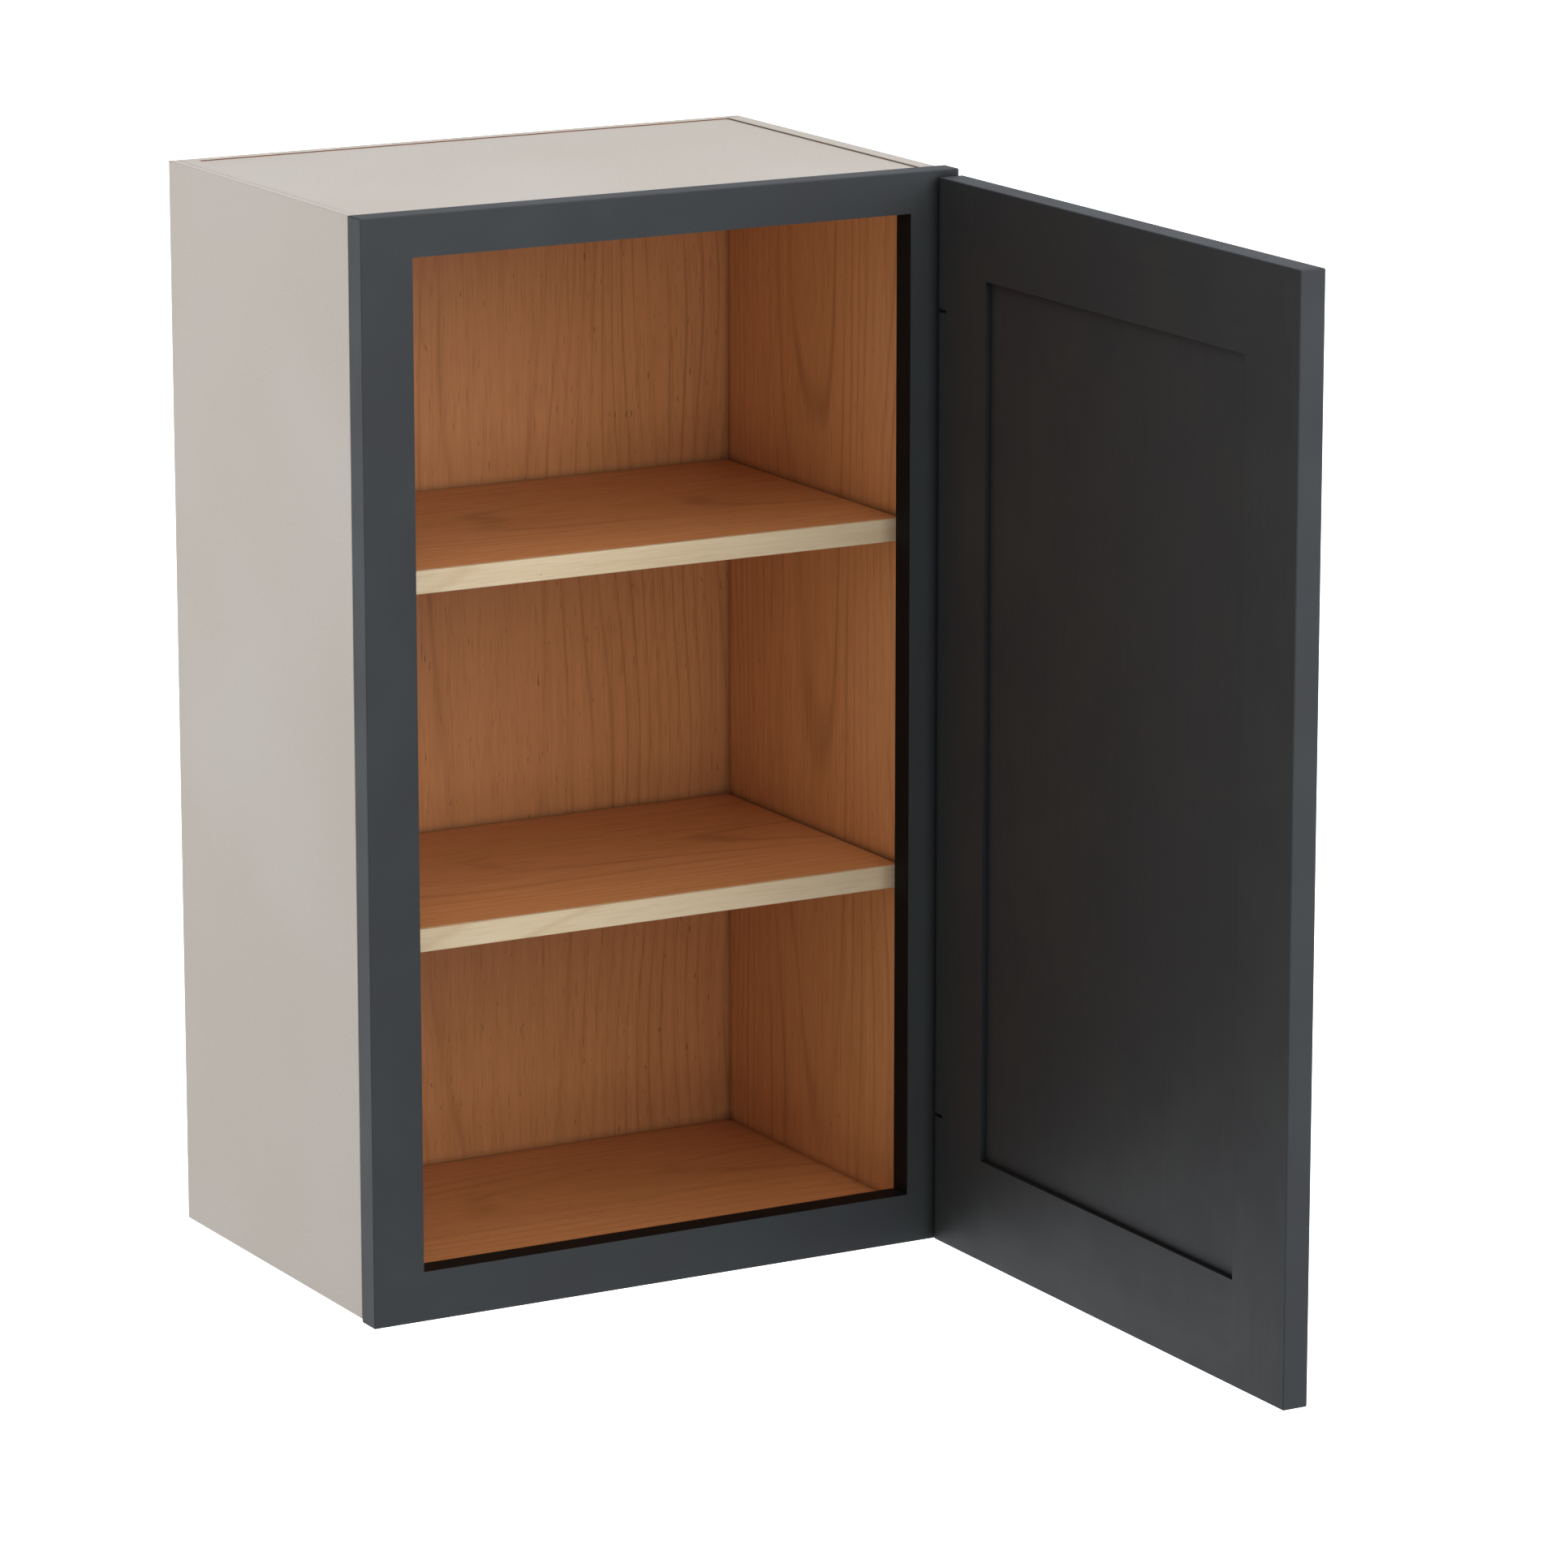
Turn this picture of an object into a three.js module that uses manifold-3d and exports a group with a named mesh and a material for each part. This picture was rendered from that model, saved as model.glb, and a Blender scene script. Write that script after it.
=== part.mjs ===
// Hanging wall cabinet: a box of boards behind a face frame, with one shaker door on two
// concealed pin hinges, two loose shelves on pins, and a hanging rail for the wall screws.
//
// Millimetres. +X is the cabinet's right as one faces it, +Y points to the wall, +Z is up.
// The origin is on the wall plane, midway across the cabinet, level with the wall screws.
// The door stands open at DOOR_REST and swings about a vertical axis near the right stile.

import * as THREE from 'three';
import { mergeVertices } from 'three/addons/utils/BufferGeometryUtils.js';
import Module from 'manifold-3d';

const wasm = await Module();
wasm.setup();

// ---- Overall sizes ----
const WIDTH = 457.2; // over the face frame's stiles
const HEIGHT = 762; // over the face frame
const DEPTH = 298.45; // from the frame's front to the wall

// ---- Clearances ----
const GLUE = 0.1; // glue line between boards of the case
const FIT = 0.3; // gap round anything let in to the frame or the door
const CUT_PAST = 1; // how far a cutting solid runs past the face it opens

// ---- Face frame ----
const FRAME_T = 19.05;
const STILE_W = 38.1;
const TOP_RAIL_W = 28.6;
const BOTTOM_RAIL_W = 35.2;
const TENON_T = 6;
const TENON_W = 18;
const TENON_REACH = 16; // how far a loose tenon goes into each member

// ---- Case ----
const SIDE_T = 12.7;
const SKIN_T = 6; // finished end glued on the left side, flush with the frame's edge
const RIGHT_INSET = 7.7; // right side's outer face, in from the frame's edge
const SIDE_RAISE = 2.4; // the frame hangs this far below the sides
const PANEL_T = 12.7; // top and bottom panels
const TOP_SET = 1; // top panel's face below the top edges of the sides
const FLOOR_Z = 17.1; // inside floor above the frame's bottom edge
const PANEL_TONGUE_T = 6;
const PANEL_TONGUE_L = 6;
const BACK_T = 8;
const BACK_REBATE = 6.35; // width of the rebate in each side that takes the back panel

// ---- Hanging rail and wall screws ----
const HANG_RAIL_T = 19;
const HANG_RAIL_H = 57;
const WALL_SCREW_X = 152.4; // each wall screw's distance from the middle
const WALL_SCREW_HOLE_R = 2.75;

// ---- Shelves ----
const SHELF_TOPS = { lower: 265, upper: 513.5 }; // above the frame's bottom edge
const SHELF_T = 16;
const SHELF_SET = 18.4; // shelf's front edge behind the frame's back face
const SHELF_EDGE_T = 4;
const SHELF_END_GAP = 2;
const SHELF_BACK_GAP = 2;
const SHELF_REST = 0.05; // clearance between a shelf and the pins under it

// ---- Shelf pins ----
const PIN_PEG_R = 2.5;
const PIN_PEG_L = 9;
const PIN_COLLAR_R = 3.5;
const PIN_COLLAR_T = 1.5;
const PIN_NOSE_L = 7;
const PIN_CLEAR = 0.1;
const PIN_INSET = 40; // from the shelf's front or back edge

// ---- Door ----
const DOOR_REST = 90; // degrees open in the pose as stored
const DOOR_T = 19.05;
const DOOR_GAP = 3; // between the closed door and the frame
const DOOR_SIDE_REVEAL = 2.9;
const DOOR_TOP_REVEAL = 4.3;
const DOOR_BOTTOM_REVEAL = 0.6;
const DOOR_STILE_W = 63.5;
const DOOR_TOP_RAIL_W = 63.5;
const DOOR_BOTTOM_RAIL_W = 73;
const DOOR_EDGE_R = 1.5; // rounding of the hinge stile's back corner, which clears the frame
const DOOR_PANEL_T = 6.35;
const PANEL_BACK_RECESS = 4;
const GROOVE_DEPTH = 9.5;
const PANEL_CLEAR = 0.15; // each side of the panel in its groove
const PANEL_BITE = 6.5; // how far the panel reaches into the groove
const STUB_SHORT = 0.5; // stub tenon's end from the groove's bottom
const SPACER_L = 20;
const SPACER_FROM_END = 90; // spacer's middle from the end of the panel
const SPACER_SIDE_CLEAR = 0.6;

// ---- Hinges ----
const HINGE_FROM_END = 92; // hinge's middle from the door's top or bottom edge
const AXIS_IN = 7.5; // axis from the door's hinge edge, and from its back face
const HINGE_PIN_R = 2;
const HINGE_RUN = 0.05; // radial clearance of the pin in the frame leaf's eye
const HINGE_SEAT = 0.02; // radial clearance of the pin in the door leaf's ears
const EYE_R = 4;
const TONGUE_W = 5;
const TONGUE_T = 2;
const TONGUE_SIDE_CLEAR = 0.25; // above and below the tongue in its slot
const EYE_ROOM = 0.6; // round the eye in its pocket, and beside the tongue in its slot
const LEAF_T = 2;
const LEAF_W = 13;
const LEAF_H = 46;
const EAR_T = 3;
const WEB_T = 2;
const LEAF_COVER = 2.8; // wood left between the door leaf and the door's back face
const SCREW_FROM_MIDDLE = 14.5;

// ---- Hinge screws ----
const SCREW_R = 1.5;
const SCREW_L = 14;
const SCREW_TIP_L = 3;
const SCREW_HEAD_R = 3;
const SCREW_HEAD_H = 1.6;
const SCREW_CLEAR = 0.12;
const SCREW_SINK = 0.1; // head below the leaf's face
const CROSS_L = 3.2;
const CROSS_W = 0.7;
const CROSS_DEPTH = 0.9;

// ---- Facets ----
const ROUND_SIDES = 16;
const PIN_SIDES = 24;
const EDGE_STEPS = 5;

// ---- Places worked out from the sizes ----
const LEFT = -WIDTH / 2;
const RIGHT = WIDTH / 2;
const FRONT = -DEPTH;
const FRAME_BACK = FRONT + FRAME_T;
const WALL = 0;
const TOP = TOP_SET + PANEL_T + HANG_RAIL_H / 2;
const BOTTOM = TOP - HEIGHT;

const INSIDE_LEFT = LEFT + SKIN_T + GLUE + SIDE_T;
const OUTSIDE_RIGHT = RIGHT - RIGHT_INSET;
const INSIDE_RIGHT = OUTSIDE_RIGHT - SIDE_T;
const SIDE_BOTTOM = BOTTOM + SIDE_RAISE;
const CASE_FRONT = FRAME_BACK + GLUE;
const BACK_FACE = WALL - BACK_T; // inside face of the back panel
const FLOOR = BOTTOM + FLOOR_Z;
const CEILING = TOP - TOP_SET - PANEL_T;

const AXIS_X = RIGHT - DOOR_SIDE_REVEAL - AXIS_IN;
const AXIS_Y = FRONT - DOOR_GAP - AXIS_IN;
const DOOR_W = WIDTH - 2 * DOOR_SIDE_REVEAL;
const DOOR_H = HEIGHT - DOOR_TOP_REVEAL - DOOR_BOTTOM_REVEAL;
const DOOR_Z = BOTTOM + DOOR_BOTTOM_REVEAL;
const HINGE_Z = { lower: HINGE_FROM_END, upper: DOOR_H - HINGE_FROM_END }; // above DOOR_Z

// ---- Finishes ----
const FINISHES = {
  painted: { color: 0x3f4145, roughness: 0.45, metalness: 0 },
  laminate: { color: 0xbeb6af, roughness: 0.6, metalness: 0 },
  maple: { color: 0x9a6a40, roughness: 0.5, metalness: 0 },
  edging: { color: 0xc6b697, roughness: 0.55, metalness: 0 },
  tenonBeech: { color: 0xcaa67a, roughness: 0.7, metalness: 0 },
  hingeSteel: { color: 0x1c1c1d, roughness: 0.4, metalness: 0.8 },
  zinc: { color: 0xb8b9b6, roughness: 0.35, metalness: 1 },
  rubber: { color: 0x2a2a2a, roughness: 0.9, metalness: 0 },
};

// ---- Solids ----

// A closed three.js geometry as a solid that can be joined or cut.
function toSolid(geometry) {
  geometry.deleteAttribute('normal');
  geometry.deleteAttribute('uv');
  const merged = mergeVertices(geometry);
  const corners = merged.index.array;
  const triVerts = [];
  for (let i = 0; i < corners.length; i += 3) {
    const [a, b, c] = [corners[i], corners[i + 1], corners[i + 2]];
    if (a !== b && b !== c && c !== a) triVerts.push(a, b, c);
  }
  return new wasm.Manifold(new wasm.Mesh({
    numProp: 3,
    vertProperties: merged.attributes.position.array,
    triVerts: Uint32Array.from(triVerts),
  }));
}

function toGeometry(solid) {
  const { vertProperties, triVerts } = solid.getMesh();
  const geometry = new THREE.BufferGeometry();
  geometry.setAttribute('position', new THREE.BufferAttribute(vertProperties, 3));
  geometry.setIndex(new THREE.BufferAttribute(triVerts, 1));
  geometry.computeVertexNormals();
  return geometry;
}

// A block between two limits on each axis.
function block(x, y, z) {
  const size = [x, y, z].map(([low, high]) => high - low);
  const middle = [x, y, z].map(([low, high]) => (low + high) / 2);
  return toSolid(new THREE.BoxGeometry(...size).translate(...middle));
}

// The corner radius of a regular polygon whose flats stand off the axis by radius.
function aroundRadius(radius, sides) {
  return radius / Math.cos(Math.PI / sides);
}

// An upright cylinder, its axis through (x, y), between two heights.
function uprightRod(radius, sides, x, y, [low, high]) {
  const geometry = new THREE.CylinderGeometry(radius, radius, high - low, sides);
  return toSolid(geometry.rotateX(Math.PI / 2).translate(x, y, (low + high) / 2));
}

// A round solid about +Y, from half its section, which starts and ends on the axis.
function turned(section, sides) {
  return new THREE.LatheGeometry(section.map(([r, y]) => new THREE.Vector2(r, y)), sides);
}

function joined(first, ...others) {
  return others.reduce((whole, other) => whole.add(other), first);
}

function cut(solid, ...cutters) {
  return cutters.reduce((rest, cutter) => rest.subtract(cutter), solid);
}

// ---- Scene graph ----
const cabinet = new THREE.Group();
const door = new THREE.Group();
door.position.set(AXIS_X, AXIS_Y, DOOR_Z);
door.rotation.z = THREE.MathUtils.degToRad(DOOR_REST);
cabinet.add(door);

function addMesh(parent, name, geometry, finish) {
  const mesh = new THREE.Mesh(geometry, new THREE.MeshStandardMaterial(FINISHES[finish]));
  mesh.name = name;
  parent.add(mesh);
  return mesh;
}

// Adds a solid as a mesh whose own origin is at the middle of its box.
function addPiece(parent, name, solid, finish) {
  const geometry = toGeometry(solid);
  geometry.computeBoundingBox();
  const middle = geometry.boundingBox.getCenter(new THREE.Vector3());
  geometry.translate(-middle.x, -middle.y, -middle.z);
  addMesh(parent, name, geometry, finish).position.copy(middle);
}

// ---- Shelf pins: a peg in the side, a collar against it, and a nose under the shelf ----
const shelfLevels = Object.entries(SHELF_TOPS).map(([level, above]) => {
  const top = BOTTOM + above;
  return { level, top, under: top - SHELF_T };
});
const shelfFront = FRAME_BACK + SHELF_SET;
const shelfBack = BACK_FACE - SHELF_BACK_GAP;
const pinSpots = [];
for (const { level, under } of shelfLevels) {
  for (const [side, x, outward] of [['left', INSIDE_LEFT, -1], ['right', INSIDE_RIGHT, 1]]) {
    for (const [row, y] of [['front', shelfFront + PIN_INSET], ['back', shelfBack - PIN_INSET]]) {
      const z = under - SHELF_REST - PIN_COLLAR_R;
      pinSpots.push({ name: `shelf_pin_${level}_${side}_${row}`, side, outward, x, y, z });
    }
  }
}

const pinSection = [
  [0, -PIN_NOSE_L],
  [PIN_COLLAR_R, -PIN_NOSE_L],
  [PIN_COLLAR_R, -GLUE],
  [PIN_PEG_R, -GLUE],
  [PIN_PEG_R, PIN_PEG_L],
  [0, PIN_PEG_L],
];
for (const { name, outward, x, y, z } of pinSpots) {
  const pin = toSolid(turned(pinSection, ROUND_SIDES));
  const mesh = addMesh(cabinet, name, toGeometry(pin), 'zinc');
  mesh.rotation.z = -outward * Math.PI / 2;
  mesh.position.set(x, y, z);
}

function pinHole({ outward, x, y, z }) {
  const radius = aroundRadius(PIN_PEG_R + PIN_CLEAR, ROUND_SIDES);
  const depth = PIN_PEG_L + PIN_CLEAR + CUT_PAST;
  const hole = new THREE.CylinderGeometry(radius, radius, depth, ROUND_SIDES);
  const middle = x + outward * (depth / 2 - CUT_PAST);
  return toSolid(hole.rotateZ(Math.PI / 2).translate(middle, y, z));
}

// ---- Case: sides, top, bottom and back ----

// The tongues are the lower half of the top panel's ends and the upper half of the bottom's.
const tongueHeights = {
  top_panel: [CEILING, CEILING + PANEL_TONGUE_T],
  bottom_panel: [FLOOR - PANEL_TONGUE_T, FLOOR],
};

// A side between two X limits, with dados for the tongues, a rebate for the back panel and
// blind holes for the shelf pins, all cut from its inner face.
function sideBoard(side, x, inner, outward) {
  const dadoEnd = inner + outward * (PANEL_TONGUE_L + GLUE);
  const rebateEnd = inner + outward * (BACK_REBATE + GLUE);
  const open = inner - outward * CUT_PAST;
  const span = (a, b) => [Math.min(a, b), Math.max(a, b)];
  const dados = Object.values(tongueHeights).map(([low, high]) => block(
    span(open, dadoEnd),
    [CASE_FRONT - CUT_PAST, WALL + CUT_PAST],
    [low - GLUE, high + GLUE],
  ));
  const rebate = block(
    span(open, rebateEnd),
    [BACK_FACE - GLUE, WALL + CUT_PAST],
    [SIDE_BOTTOM - CUT_PAST, TOP + CUT_PAST],
  );
  const holes = pinSpots.filter((spot) => spot.side === side).map(pinHole);
  return cut(block(x, [CASE_FRONT, WALL], [SIDE_BOTTOM, TOP]), ...dados, rebate, ...holes);
}

addPiece(cabinet, 'side_left',
  sideBoard('left', [INSIDE_LEFT - SIDE_T, INSIDE_LEFT], INSIDE_LEFT, -1), 'maple');
addPiece(cabinet, 'side_right',
  sideBoard('right', [INSIDE_RIGHT, OUTSIDE_RIGHT], INSIDE_RIGHT, 1), 'maple');
addPiece(cabinet, 'end_skin_left',
  block([LEFT, LEFT + SKIN_T], [CASE_FRONT, WALL], [SIDE_BOTTOM, TOP]), 'laminate');

const panelX = [INSIDE_LEFT + GLUE, INSIDE_RIGHT - GLUE];
const tongueX = [INSIDE_LEFT - PANEL_TONGUE_L, INSIDE_RIGHT + PANEL_TONGUE_L];
const panelY = [CASE_FRONT, BACK_FACE - GLUE];
const panelHeights = {
  top_panel: [CEILING, CEILING + PANEL_T],
  bottom_panel: [FLOOR - PANEL_T, FLOOR],
};
for (const [name, heights] of Object.entries(panelHeights)) {
  const tongues = block(tongueX, panelY, tongueHeights[name]);
  addPiece(cabinet, name, joined(block(panelX, panelY, heights), tongues), 'maple');
}

const wallScrewX = [-WALL_SCREW_X, WALL_SCREW_X];
function wallScrewHole(x) {
  const depth = BACK_T + HANG_RAIL_T + 2 * CUT_PAST;
  const hole = new THREE.CylinderGeometry(
    WALL_SCREW_HOLE_R, WALL_SCREW_HOLE_R, depth, ROUND_SIDES);
  return toSolid(hole.translate(x, WALL + CUT_PAST - depth / 2, 0));
}

const backX = [INSIDE_LEFT - BACK_REBATE, INSIDE_RIGHT + BACK_REBATE];
const backPanel = block(backX, [BACK_FACE, WALL], [SIDE_BOTTOM, TOP]);
addPiece(cabinet, 'back_panel', cut(backPanel, ...wallScrewX.map(wallScrewHole)), 'maple');

const hangingRail = block(
  panelX,
  [BACK_FACE - GLUE - HANG_RAIL_T, BACK_FACE - GLUE],
  [CEILING - GLUE - HANG_RAIL_H, CEILING - GLUE],
);
addPiece(cabinet, 'hanging_rail', cut(hangingRail, ...wallScrewX.map(wallScrewHole)), 'maple');

// ---- Shelves ----
const shelfX = [INSIDE_LEFT + SHELF_END_GAP, INSIDE_RIGHT - SHELF_END_GAP];
for (const { level, top, under } of shelfLevels) {
  const board = block(shelfX, [shelfFront + SHELF_EDGE_T + GLUE, shelfBack], [under, top]);
  const edging = block(shelfX, [shelfFront, shelfFront + SHELF_EDGE_T], [under, top]);
  addPiece(cabinet, `shelf_${level}`, board, 'maple');
  addPiece(cabinet, `shelf_${level}_edge`, edging, 'edging');
}

// ---- Hinge screws: countersunk, with a cross recess; they point along -Y as turned ----
function screwGeometry(clear) {
  const head = SCREW_HEAD_R + clear;
  const shank = SCREW_R + clear;
  const headTop = clear > 0 ? CUT_PAST : 0;
  return turned([
    [0, -SCREW_L - clear],
    [shank, SCREW_TIP_L - SCREW_L],
    [shank, -SCREW_HEAD_H],
    [head, 0],
    ...(headTop ? [[head, headTop]] : []),
    [0, headTop],
  ], ROUND_SIDES);
}

const cross = [[CROSS_L, CROSS_W], [CROSS_W, CROSS_L]].map(([x, z]) => block(
  [-x / 2, x / 2],
  [-CROSS_DEPTH, CUT_PAST],
  [-z / 2, z / 2],
));
const screw = toGeometry(cut(toSolid(screwGeometry(0)), ...cross));

// ---- Hinges ----
const earTop = TONGUE_T / 2 + TONGUE_SIDE_CLEAR + EAR_T;
const slotHalf = TONGUE_T / 2 + TONGUE_SIDE_CLEAR;
const pocket = EYE_R + EYE_ROOM; // the slot's reach past the axis
const leafFaceY = AXIS_IN - LEAF_COVER; // door leaf's side towards the door's back face
const around = (middle, half) => [middle - half, middle + half];
const screwOffsets = [['lower', -SCREW_FROM_MIDDLE], ['upper', SCREW_FROM_MIDDLE]];

// Frame leaf: a plate let in to the stile's face, with a tongue and eye that reach the pin.
function frameLeaf(z) {
  const eye = uprightRod(EYE_R, PIN_SIDES, AXIS_X, AXIS_Y, around(z, TONGUE_T / 2));
  const tongue = block(
    around(AXIS_X, TONGUE_W / 2), [AXIS_Y, FRONT + LEAF_T], around(z, TONGUE_T / 2));
  const plate = block(around(AXIS_X, LEAF_W / 2), [FRONT, FRONT + LEAF_T], around(z, LEAF_H / 2));
  const bore = uprightRod(
    aroundRadius(HINGE_PIN_R + HINGE_RUN, PIN_SIDES), PIN_SIDES, AXIS_X, AXIS_Y,
    around(z, TONGUE_T));
  return cut(joined(plate, tongue, eye), bore, ...frameScrewCuts(z));
}

function frameScrewCuts(z) {
  return screwOffsets.map(([, offset]) => toSolid(
    screwGeometry(SCREW_CLEAR).rotateX(Math.PI).translate(AXIS_X, FRONT + SCREW_SINK, z + offset),
  ));
}

function frameLeafSeat(z) {
  const plate = block(
    around(AXIS_X, LEAF_W / 2 + FIT),
    [FRONT - CUT_PAST, FRONT + LEAF_T + FIT],
    around(z, LEAF_H / 2 + FIT),
  );
  return [plate, ...frameScrewCuts(z)];
}

// Door leaf, in the door's own axes: two ears and a web round the slot, and two flanges on
// the hinge edge. The door's axes have the pin at x = y = 0, the hinge edge at x = AXIS_IN
// and the back face at y = AXIS_IN.
function doorLeaf(z) {
  const y = [-pocket, leafFaceY];
  const body = block([-pocket - WEB_T, AXIS_IN], y, around(z, earTop));
  const flanges = block([AXIS_IN - LEAF_T, AXIS_IN], y, around(z, LEAF_H / 2));
  const slot = block(
    [-pocket, AXIS_IN + CUT_PAST], [-pocket - CUT_PAST, AXIS_IN], around(z, slotHalf));
  const bore = uprightRod(
    aroundRadius(HINGE_PIN_R + HINGE_SEAT, PIN_SIDES), PIN_SIDES, 0, 0,
    around(z, earTop + CUT_PAST));
  return cut(joined(body, flanges), slot, bore, ...doorScrewCuts(z));
}

function doorScrewCuts(z) {
  return screwOffsets.map(([, offset]) => toSolid(
    screwGeometry(SCREW_CLEAR).rotateZ(-Math.PI / 2).translate(
      AXIS_IN - SCREW_SINK, 0, z + offset),
  ));
}

function doorLeafSeat(z) {
  const y = [-pocket - FIT, leafFaceY + FIT];
  const open = AXIS_IN + CUT_PAST;
  const body = block([-pocket - WEB_T - FIT, open], y, around(z, earTop + FIT));
  const flanges = block([AXIS_IN - LEAF_T - FIT, open], y, around(z, LEAF_H / 2 + FIT));
  const slot = block([-TONGUE_W / 2 - EYE_ROOM, open], [0, open], around(z, slotHalf));
  return [body, flanges, slot, ...doorScrewCuts(z)];
}

for (const [level, above] of Object.entries(HINGE_Z)) {
  const name = `hinge_${level}`;
  addPiece(cabinet, `${name}_frame_leaf`, frameLeaf(DOOR_Z + above), 'hingeSteel');
  addPiece(door, `${name}_door_leaf`, doorLeaf(above), 'hingeSteel');
  const pin = uprightRod(HINGE_PIN_R, PIN_SIDES, 0, 0, around(above, earTop));
  addPiece(door, `${name}_pin`, pin, 'zinc');
  for (const [place, offset] of screwOffsets) {
    const frameScrew = addMesh(cabinet, `${name}_frame_screw_${place}`, screw, 'zinc');
    frameScrew.rotation.x = Math.PI;
    frameScrew.position.set(AXIS_X, FRONT + SCREW_SINK, DOOR_Z + above + offset);
    const doorScrew = addMesh(door, `${name}_door_screw_${place}`, screw, 'zinc');
    doorScrew.rotation.z = -Math.PI / 2;
    doorScrew.position.set(AXIS_IN - SCREW_SINK, 0, above + offset);
  }
}

// ---- Face frame: stiles, rails and the loose tenons that join them ----
const openX = [LEFT + STILE_W, RIGHT - STILE_W];
const frameY = [FRONT, FRAME_BACK];
const frameMiddleY = (FRONT + FRAME_BACK) / 2;
const railZ = {
  top: [TOP - TOP_RAIL_W, TOP],
  bottom: [BOTTOM, BOTTOM + BOTTOM_RAIL_W],
};

function tenon(x, z, clear) {
  return block(
    around(x, TENON_REACH + clear),
    around(frameMiddleY, TENON_T / 2 + clear),
    around(z, TENON_W / 2 + clear),
  );
}

const tenonSpots = [];
for (const [rail, [low, high]] of Object.entries(railZ)) {
  for (const [side, x] of [['left', openX[0]], ['right', openX[1]]]) {
    tenonSpots.push({ name: `frame_tenon_${rail}_${side}`, x, z: (low + high) / 2 });
  }
}
const tenonSeats = tenonSpots.map(({ x, z }) => tenon(x, z, GLUE));
for (const { name, x, z } of tenonSpots) {
  addPiece(cabinet, name, tenon(x, z, 0), 'tenonBeech');
}

const leftStile = block([LEFT, openX[0]], frameY, [BOTTOM, TOP]);
addPiece(cabinet, 'frame_stile_left', cut(leftStile, ...tenonSeats), 'painted');

const rightStile = block([openX[1], RIGHT], frameY, [BOTTOM, TOP]);
const leafSeats = Object.values(HINGE_Z).flatMap((above) => frameLeafSeat(DOOR_Z + above));
addPiece(cabinet, 'frame_stile_right', cut(rightStile, ...tenonSeats, ...leafSeats), 'painted');

for (const [rail, heights] of Object.entries(railZ)) {
  const bar = block([openX[0] + GLUE, openX[1] - GLUE], frameY, heights);
  addPiece(cabinet, `frame_rail_${rail}`, cut(bar, ...tenonSeats), 'painted');
}

// ---- Door, in its own axes: closed, it runs from the hinge edge towards -X ----
const hingeEdge = AXIS_IN;
const freeEdge = hingeEdge - DOOR_W;
const doorBack = AXIS_IN;
const doorFront = doorBack - DOOR_T;
const doorY = [doorFront, doorBack];
const doorOpenX = [freeEdge + DOOR_STILE_W, hingeEdge - DOOR_STILE_W];
const doorOpenZ = [DOOR_BOTTOM_RAIL_W, DOOR_H - DOOR_TOP_RAIL_W];
const panelSeatY = [doorBack - PANEL_BACK_RECESS - DOOR_PANEL_T, doorBack - PANEL_BACK_RECESS];
const grooveY = [panelSeatY[0] - PANEL_CLEAR, panelSeatY[1] + PANEL_CLEAR];
const wider = ([low, high], by) => [low - by, high + by];

// One solid cuts the groove in all four members; stiles are grooved from end to end.
const frameGroove = block(
  wider(doorOpenX, GROOVE_DEPTH), grooveY, wider(doorOpenZ, GROOVE_DEPTH));
const stileGroove = block(
  wider(doorOpenX, GROOVE_DEPTH), grooveY, [-CUT_PAST, DOOR_H + CUT_PAST]);

// The hinge stile's section, with its back corner on the hinge edge rounded.
function hingeStile() {
  const section = new THREE.Shape();
  section.moveTo(doorOpenX[1], doorFront);
  section.lineTo(hingeEdge, doorFront);
  section.lineTo(hingeEdge, doorBack - DOOR_EDGE_R);
  section.absarc(hingeEdge - DOOR_EDGE_R, doorBack - DOOR_EDGE_R, DOOR_EDGE_R, 0, Math.PI / 2);
  section.lineTo(doorOpenX[1], doorBack);
  section.closePath();
  return toSolid(new THREE.ExtrudeGeometry(
    section, { depth: DOOR_H, bevelEnabled: false, curveSegments: EDGE_STEPS }));
}

const doorLeafSeats = Object.values(HINGE_Z).flatMap(doorLeafSeat);
addPiece(door, 'door_stile_hinge', cut(hingeStile(), stileGroove, ...doorLeafSeats), 'painted');

const freeStile = block([freeEdge, doorOpenX[0]], doorY, [0, DOOR_H]);
addPiece(door, 'door_stile_free', cut(freeStile, stileGroove), 'painted');

const doorRailZ = {
  top: [doorOpenZ[1], DOOR_H],
  bottom: [0, doorOpenZ[0]],
};
const stubX = wider(doorOpenX, GROOVE_DEPTH - STUB_SHORT);
for (const [rail, heights] of Object.entries(doorRailZ)) {
  const bar = block(wider(doorOpenX, -FIT), doorY, heights);
  const stubs = block(stubX, wider(grooveY, -FIT), heights);
  addPiece(door, `door_rail_${rail}`, cut(joined(bar, stubs), frameGroove), 'painted');
}

const doorPanelX = wider(doorOpenX, PANEL_BITE);
const doorPanelZ = wider(doorOpenZ, PANEL_BITE);
addPiece(door, 'door_panel', block(doorPanelX, panelSeatY, doorPanelZ), 'painted');

// Rubber spacers in the stiles' grooves keep the loose panel central.
for (const [stile, edge, outward] of [['free', 0, -1], ['hinge', 1, 1]]) {
  const grooveEnd = doorOpenX[edge] + outward * (GROOVE_DEPTH - FIT);
  const panelEnd = doorPanelX[edge] + outward * FIT;
  const x = [Math.min(grooveEnd, panelEnd), Math.max(grooveEnd, panelEnd)];
  const heights = {
    lower: doorPanelZ[0] + SPACER_FROM_END,
    upper: doorPanelZ[1] - SPACER_FROM_END,
  };
  for (const [level, z] of Object.entries(heights)) {
    const spacer = block(x, wider(panelSeatY, -SPACER_SIDE_CLEAR), around(z, SPACER_L / 2));
    addPiece(door, `panel_spacer_${stile}_${level}`, spacer, 'rubber');
  }
}

export default cabinet;
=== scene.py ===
import math
from functools import partial

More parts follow.
